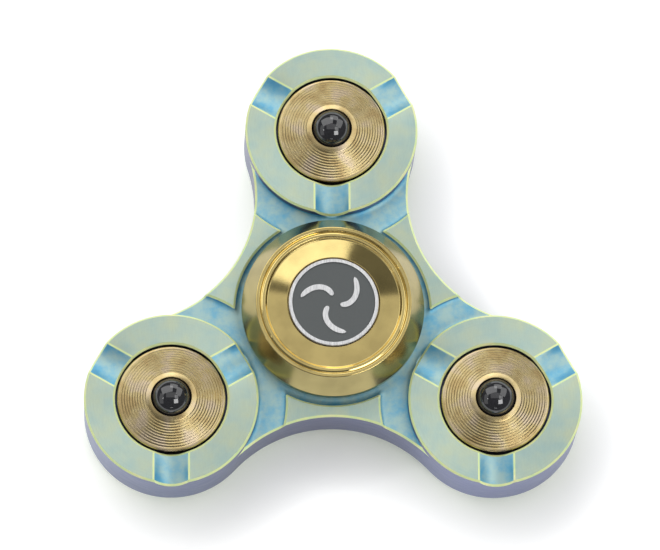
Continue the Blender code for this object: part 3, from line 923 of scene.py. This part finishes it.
def wall_material():
    made = Shader("anodised_wall_and_side_shade", (0.34, 0.36, 0.5), 0.36)
    marks = made.noise(1.0, 4.0, 0.7, made.stretched((0.5, 0.5, 6.0)))
    across = made.add("ShaderNodeSeparateXYZ", {0: made.place()}).outputs[0]
    # Painted side shade: the walls' colour changes from the body's left (-X) to its right (+X), standing in
    # for the different light on the two sides; the noise on top is the anodising's own uneven tone.
    painted_side_shade = made.map_value(across, -LOBE_DISTANCE, LOBE_DISTANCE, 0.25, 0.75)
    blend = made.math("ADD", painted_side_shade, made.math("MULTIPLY", made.noise(0.12), 0.3))
    made.to_shader("Base Color", made.ramp(blend, WALL_COLOURS))
    made.to_shader("Roughness", made.map_value(marks, 0.3, 0.7, 0.28, 0.44))
    made.bump(marks, 0.2, 0.02)
    return made.material


def gold_material(name, colour, roughness, grain, stretch=0.55):
    made = Shader(name, colour, roughness)
    lines = made.turning_lines(0.06, 0.9)
    cloud = made.noise(0.35)
    dark = tuple(channel * DARKER for channel in colour)
    made.to_shader("Base Color", made.mix(made.map_value(cloud, 0.35, 0.65, 0, 1), colour, dark))
    made.to_shader("Roughness", made.map_value(lines, 0.3, 0.7, roughness * 0.8, roughness * 1.25))
    made.bump(lines, grain, 0.01)
    made.brushed_round(stretch)
    return made.material


def weight_material():
    made = Shader("weight_bronze", (0.55, 0.43, 0.22), 0.24)
    lines = made.turning_lines(0.05, 0.9)
    made.to_shader("Base Color", made.ramp(made.noise(0.5), BRONZE_COLOURS))
    made.to_shader("Roughness", made.map_value(lines, 0.3, 0.7, 0.2, 0.32))
    made.bump(lines, 0.2, 0.01)
    made.brushed_round(0.6)
    return made.material


def ceramic_material():
    made = Shader("black_ceramic", (0.012, 0.012, 0.015), 0.05, 0.0)
    made.shader.inputs["IOR"].default_value = 1.9
    made.to_shader("Roughness", made.map_value(made.noise(3.0, 4.0, 0.6), 0.3, 0.7, 0.03, 0.07))
    made.to_shader("Base Color", made.ramp(made.noise(6.0), CERAMIC_COLOURS))
    return made.material


def field_material():
    made = Shader("medallion_field", (0.12, 0.13, 0.13), 0.5, 0.3)
    grain = made.noise(14.0, 3.0, 0.7)
    made.to_shader("Base Color", made.ramp(grain, FIELD_COLOURS))
    made.to_shader("Roughness", made.map_value(grain, 0.3, 0.7, 0.42, 0.6))
    made.bump(grain, 0.2, 0.01)
    return made.material


def silver_material():
    made = Shader("medallion_silver", (0.86, 0.86, 0.86), 0.4, 0.55)
    hatch = made.noise(1.0, 2.0, 0.6, made.stretched((9, 0.9, 1), SILVER_HATCH_TURN))
    made.to_shader("Base Color", made.ramp(hatch, SILVER_COLOURS))
    made.to_shader("Roughness", made.map_value(hatch, 0.3, 0.7, 0.35, 0.5))
    made.bump(hatch, 0.25, 0.01)
    return made.material


def steel_material(name, colour, roughness):
    made = Shader(name, colour, roughness)
    grain = made.noise(5.0, 3.0, 0.6)
    light = tuple(channel * LIGHTER for channel in colour)
    made.to_shader("Base Color", made.mix(grain, colour, light))
    made.to_shader("Roughness", made.map_value(grain, 0.3, 0.7, roughness * 0.8, roughness * 1.3))
    made.bump(grain, 0.1, 0.01)
    return made.material


# ---------------------------------------------------------------- pieces


def give(piece, body, slot, *nodes):
    """Fixes a piece to a body and hides the CAD nodes that it stands for. The slot is not used."""
    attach(piece, body)
    if nodes:
        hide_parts(*nodes)


def add_body():
    materials = [face_material(), edge_material(), recess_material(), wall_material()]
    give(body_mesh(materials), "spinner", "body_titanium", "frame")


def button_face():
    """The button's outer face from the medallion pocket to the underside's rim, corners still sharp."""
    crest = CREST_HEIGHT
    pocket = MEDAL_RADIUS + MEDAL_POCKET_GAP
    floor = MEDAL_LOW.z - MEDAL_SEAT_GAP
    return [
        (0, floor, BACK),
        (pocket, floor, BACK),
        (pocket, crest - DISH_INNER_DROP, BRIGHT),
        (DISH_OUTER_RADIUS, crest - DISH_OUTER_DROP, BRIGHT),
        (RIDGE_INNER_RADIUS, crest - RIDGE_DROP, BRIGHT),
        (RIDGE_OUTER_RADIUS, crest - RIDGE_DROP, BRIGHT),
        (CREST_GROOVE_RADIUS, crest - CREST_GROOVE_DROP, BRIGHT),
        (CREST_INNER_RADIUS, crest, BRIGHT),
        (CREST_OUTER_RADIUS, crest, FLANK),
        (BUTTON_RADIUS, RIM_TOP, FLANK),
        (BUTTON_RADIUS, RIM_FOOT, BACK),
        (SPACER_RADIUS, RIM_FOOT, BACK),
        (SPACER_RADIUS, RACE_FACE, BACK),
    ]


# The hollow stem of the upper button and the stud of the lower one.
BUTTON_STEM = [
    (STEM_RADIUS, RACE_FACE, BACK),
    (STEM_RADIUS, STEM_END, BACK),
    (STEM_BORE_RADIUS, STEM_END, BACK),
    (STEM_BORE_RADIUS, STEM_BORE_END, BACK),
    (0, STEM_BORE_END, BACK),
]
BUTTON_STUD = [
    (BUTTON_STUD_RADIUS, RACE_FACE, BACK),
    (BUTTON_STUD_RADIUS, BUTTON_STUD_END, BACK),
    (0, BUTTON_STUD_END, BACK),
]


def medal_profile():
    """The medallion, a sunk field in a raised rim with small edge breaks."""
    inner = MEDAL_RADIUS - MEDAL_RIM_WIDTH
    return [
        (0, MEDAL_FACE - MEDAL_FIELD_DROP, FIELD),
        (inner - FIELD_EDGE_INSIDE, MEDAL_FACE - MEDAL_FIELD_DROP, FIELD),
        (inner + FIELD_EDGE_OUTSIDE, MEDAL_FACE, SILVER),
        (MEDAL_RADIUS - MEDAL_EDGE, MEDAL_FACE, SILVER),
        (MEDAL_RADIUS, MEDAL_FACE - MEDAL_EDGE, SILVER),
        (MEDAL_RADIUS, MEDAL_LOW.z, SILVER),
        (0, MEDAL_LOW.z, SILVER),
    ]


def swirl_point(turn, t):
    """A point on the middle line of one of the motif's bars, from t 0 near the hub to 1."""
    return polar(MOTIF_INNER_RADIUS + MOTIF_REACH * t, turn + MOTIF_SWEEP * t**MOTIF_SWEEP_POWER)


def swirl_outline(turn):
    """One bowed bar of the medallion's motif, a crescent between two arcs with round ends."""
    outer, inner = [], []
    for i in range(MOTIF_STEPS + 1):
        t = i / MOTIF_STEPS
        half = MOTIF_HALF_WIDTH * math.sqrt(1 - (2 * t - 1) ** MOTIF_END_POWER)
        spot = swirl_point(turn, t)
        ahead = (swirl_point(turn, t + MOTIF_AHEAD) - spot).normalized()
        aside = Vector((-ahead.y, ahead.x))
        outer.append(spot + aside * half)
        inner.append(spot - aside * half)
    return outer + inner[-2:0:-1]


def motif_mesh(name, material, flip):
    """Three bowed bars in a whirl, level with the medallion's rim."""
    bm = bmesh.new()
    low, high = MEDAL_FACE - MOTIF_FOOT_DROP, MEDAL_FACE - MOTIF_TOP_DROP
    sign = -1 if flip else 1
    for bar in range(MOTIF_BARS):
        outline = swirl_outline(math.tau * bar / MOTIF_BARS + MOTIF_START_TURN)
        face = bm.faces.new([bm.verts.new((point.x, point.y, sign * low)) for point in outline])
        raised = bmesh.ops.extrude_face_region(bm, geom=[face])["geom"]
        lifted = [item for item in raised if isinstance(item, bmesh.types.BMVert)]
        bmesh.ops.translate(bm, verts=lifted, vec=(0, 0, sign * (high - low)))
    bmesh.ops.recalc_face_normals(bm, faces=bm.faces)
    return finish_mesh(bm, name, [material])


def add_hub():
    gold = gold_material("button_gold", (0.8, 0.63, 0.25), 0.07, 0.05, 0.0)
    # Painted shade: the flank's gold is a darker copy of the button's gold, standing in for the shade on the
    # outward-sloping flank.
    flank = gold_material("button_flank_painted_shade", (0.38, 0.32, 0.145), 0.2, 0.1)
    plain = gold_material("button_back", (0.62, 0.48, 0.2), 0.3, 0.2)
    field, silver = field_material(), silver_material()
    for side, stem, flip in (("top", BUTTON_STEM, False), ("bottom", BUTTON_STUD, True)):
        profile = rounded(button_face() + stem, BUTTON_ROUNDING)
        button = turned(f"thumb_button_{side}", profile, BUTTON_STEPS, [gold, plain, flank], flip=flip)
        give(button, "hub", "button_gold", f"button_{side}")
        medal = turned(f"medallion_disc_{side}", medal_profile(), MEDAL_STEPS, [field, silver], flip=flip)
        give(medal, "hub", "medallion", f"medallion_{side}")
        give(motif_mesh(f"medallion_motif_{side}", silver, flip), "hub", "medallion")


def weight_end(radius, height):
    """The stud of an upper weight or the socket of a lower one."""
    return [(radius, WEIGHT_GAP, BACK), (radius, height, BACK), (0, height, BACK)]


def weight_profile(stud):
    """A weight with its turned grooves, from the ball seat to the rim and down to the stud or socket."""
    mouth = LOBE_HIGH.z
    rim = mouth - WEIGHT_FALL
    seat = LOBE_BALL_RADIUS + BALL_SEAT_GAP
    point = LOBE_BALL_HEIGHT - LOBE_BALL_RADIUS / math.sin(DRILL_HALF_ANGLE) - WEIGHT_GAP
    profile = [
        (0, point, BACK),
        (seat, point + seat / math.tan(DRILL_HALF_ANGLE), BACK),
        (seat, mouth - SEAT_EDGE_DROP, BRIGHT),
        (seat + SEAT_EDGE_WIDTH, mouth - WEIGHT_EDGE_RISE, BRIGHT),
    ]
    count = WEIGHT_GROOVES * WEIGHT_GROOVE_STEPS
    slope = -WEIGHT_FALL / (WEIGHT_RADIUS - seat)
    for i in range(count + 1):
        radius = WEIGHT_GROOVES_START + (WEIGHT_GROOVES_END - WEIGHT_GROOVES_START) * i / count
        dip = WEIGHT_GROOVE_HALF_DEPTH * (1 - math.cos(math.tau * i / WEIGHT_GROOVE_STEPS))
        profile.append((radius, mouth + slope * (radius - seat) - dip, BRIGHT))
    profile += [
        (WEIGHT_RADIUS - WEIGHT_EDGE_WIDTH, rim + WEIGHT_EDGE_RISE, BRIGHT),
        (WEIGHT_RADIUS, rim - WEIGHT_EDGE_DROP, BRIGHT),
        (WEIGHT_RADIUS, RIB_HEIGHT + WEIGHT_GAP, BACK),
        (RIB_BORE_RADIUS - WEIGHT_NECK_GAP, RIB_HEIGHT + WEIGHT_GAP, BACK),
        (RIB_BORE_RADIUS - WEIGHT_NECK_GAP, WEIGHT_GAP, BACK),
    ]
    return profile + stud


def add_weights():
    bronze = weight_material()
    back = gold_material("weight_back", (0.5, 0.4, 0.22), 0.35, 0.2)
    ceramic = ceramic_material()
    stud = weight_end(WEIGHT_STUD_RADIUS, WEIGHT_STUD_END)
    socket = weight_end(WEIGHT_SOCKET_RADIUS, WEIGHT_SOCKET_END)
    for index in range(LOBE_COUNT):
        number = index + 1
        centre = lobe_centre(index)
        for side, end, flip in (("top", stud, False), ("bottom", socket, True)):
            node = f"weight_{side}_{number}"
            weight = turned(f"lobe_{node}", weight_profile(end), WEIGHT_STEPS, [bronze, back], centre, flip)
            give(weight, "spinner", "weight_bronze", node)
            name = f"ceramic_ball_{side}_{number}"
            height = -LOBE_BALL_HEIGHT if flip else LOBE_BALL_HEIGHT
            ball = sphere(name, centre, height, LOBE_BALL_RADIUS, LOBE_BALL_STEPS, ceramic)
            give(ball, "spinner", "ceramic_ball", f"lobe_ball_{side}_{number}")


def sphere(name, centre, height, radius, steps, material):
    bm = bmesh.new()
    bmesh.ops.create_uvsphere(bm, u_segments=steps, v_segments=steps // 2, radius=radius)
    bmesh.ops.translate(bm, verts=bm.verts, vec=(centre[0], centre[1], height))
    return finish_mesh(bm, name, [material], sharp_degrees=60)


def add_bearing():
    race = steel_material("bearing_race_steel", (0.6, 0.61, 0.63), 0.22)
    ball_steel = steel_material("bearing_ball_steel", (0.68, 0.69, 0.71), 0.1)
    retainer = steel_material("retainer_steel", (0.5, 0.5, 0.5), 0.35)
    for node, material in (
        ("bearing_inner_race", race),
        ("bearing_outer_race", race),
        ("ball_retainer", retainer),
    ):
        piece = frame["nodes"][node]
        piece.data.materials.clear()
        piece.data.materials.append(material)
        bevel = piece.modifiers.new("edges", "BEVEL")
        bevel.width = BEVEL_WIDTH * MM
        bevel.segments = 2
        bevel.limit_method = "ANGLE"
        bevel.angle_limit = BEVEL_OVER
    for name in sorted(frame["nodes"]):
        if not name.startswith("bearing_ball_"):
            continue
        low, high = box_mm(name)
        middle = (low + high) / 2
        radius = (high.z - low.z) / 2
        shown = name.replace("bearing_ball", "race_ball")
        ball = sphere(shown, middle, middle.z, radius, RACE_BALL_STEPS, ball_steel)
        give(ball, frame["nodes"][name]["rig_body"], "bearing_ball", name)


# ---------------------------------------------------------------- studio

FLOOR_HALF = 1.2
FLOOR_GAP = 0.02
FLOOR_WHITE = 0.9
# Painted light on the floor: its glow, a painted shadow cut into the glow, and a painted pool of light
# fading beyond FLOOR_WHITE_REACH.
FLOOR_GLOW = 0.62
FLOOR_WHITE_REACH = 52
FLOOR_FADE_REACH = 120
FLOOR_FADE = 0.7
FLOOR_SHADE_REACH = 9
FLOOR_SHADE_LEAN = (-0.75, 0.5, 0.4)
FLOOR_SHADE_POWER = 3.0
FLOOR_SHADE_SAMPLES = 12
SKY_COLOUR = (0.9, 0.92, 0.95)
SKY_STRENGTH = 0.16
LIGHT_DISTANCE = 0.6
# Soft lights: name, degrees right and up from the view axis, degrees wide and high, radiance.
PANELS = (
    ("upper_left", -27, 53, 60, 44, 1.35),
    ("upper_right", 49, 40, 32, 50, 1.15),
    ("far_panel", 15, 76, 34, 30, 1.3),
    ("near_panel", 0, 17.5, 60, 31, 0.48),
    ("right_panel", 31, 6, 22, 20, 1.3),
    ("left_panel", -60, -5, 26, 50, 0.5),
    ("softbox", 28, -20, 24, 24, 4.4),
    ("spot", -48.5, -2, 3.5, 3.5, 8.0),
    ("strip", 0, -58.7, 14, 1.6, 4.0),
)


def add_floor():
    """A white floor just under the spinner, which glows as painted light though it is no lamp. Its glow is
    less where the spinner hides the upper left, a painted shadow, and colour and glow fall off away from the
    spinner as a painted pool of light.
    """
    bm = bmesh.new()
    corners = [(-1, -1), (1, -1), (1, 1), (-1, 1)]
    size = FLOOR_HALF / MM
    height = cad_box[0].z / MM - FLOOR_GAP
    bm.faces.new([bm.verts.new((x * size, y * size, height)) for x, y in corners])
    made = Shader("floor_white_painted_glow", (FLOOR_WHITE, FLOOR_WHITE, FLOOR_WHITE), 0.8, 0.0)
    made.shader.inputs["Specular IOR Level"].default_value = 0.0
    made.shader.inputs["Emission Color"].default_value = (1, 1, 1, 1)
    reach = made.add("ShaderNodeVectorMath", {0: made.place()}, operation="LENGTH").outputs["Value"]
    # Painted pool of light: the floor's colour and glow fall off away from the spinner.
    painted_light_pool = made.map_value(reach, FLOOR_WHITE_REACH, FLOOR_FADE_REACH, 1, FLOOR_FADE)
    made.to_shader("Base Color", made.grey(made.math("MULTIPLY", painted_light_pool, FLOOR_WHITE)))
    # Painted shadow: occlusion round a normal leaned towards the upper left dims the glow to the right of
    # and below the spinner.
    lean = made.add("ShaderNodeCombineXYZ", dict(enumerate(FLOOR_SHADE_LEAN))).outputs[0]
    inputs = {"Distance": FLOOR_SHADE_REACH * MM, "Normal": lean}
    open_sky = made.add("ShaderNodeAmbientOcclusion", inputs, samples=FLOOR_SHADE_SAMPLES).outputs["AO"]
    glow = made.math("MULTIPLY", made.math("POWER", open_sky, FLOOR_SHADE_POWER), painted_light_pool)
    made.to_shader("Emission Strength", made.math("MULTIPLY", glow, FLOOR_GLOW))
    finish_mesh(bm, "floor", [made.material])


def add_panel(name, across, up, width, height, radiance):
    """A flat light that faces the object."""
    right, above, back = view_axes()
    angle = math.radians(math.hypot(across, up))
    side = (right * across + above * up).normalized()
    direction = back * math.cos(angle) + side * math.sin(angle)
    data = bpy.data.lights.new(name, "AREA")
    data.shape = "RECTANGLE"
    data.size = 2 * LIGHT_DISTANCE * math.tan(math.radians(width / 2))
    data.size_y = 2 * LIGHT_DISTANCE * math.tan(math.radians(height / 2))
    data.energy = radiance * math.pi * data.size * data.size_y
    light = bpy.data.objects.new(name, data)
    level = (right - direction * right.dot(direction)).normalized()
    place = [part * LIGHT_DISTANCE for part in direction]
    set_frame(light, (level, direction.cross(level), direction), place)
    bpy.context.scene.collection.objects.link(light)


def add_studio():
    world = bpy.data.worlds.new("studio")
    world.use_nodes = True
    sky = world.node_tree.nodes["Background"]
    sky.inputs["Color"].default_value = (*SKY_COLOUR, 1)
    sky.inputs["Strength"].default_value = SKY_STRENGTH
    scene = bpy.context.scene
    scene.world = world
    for panel in PANELS:
        add_panel(*panel)
    scene.view_settings.view_transform = "Standard"
    scene.view_settings.look = "None"


add_camera()
add_studio()
add_floor()
add_body()
add_hub()
add_weights()
add_bearing()
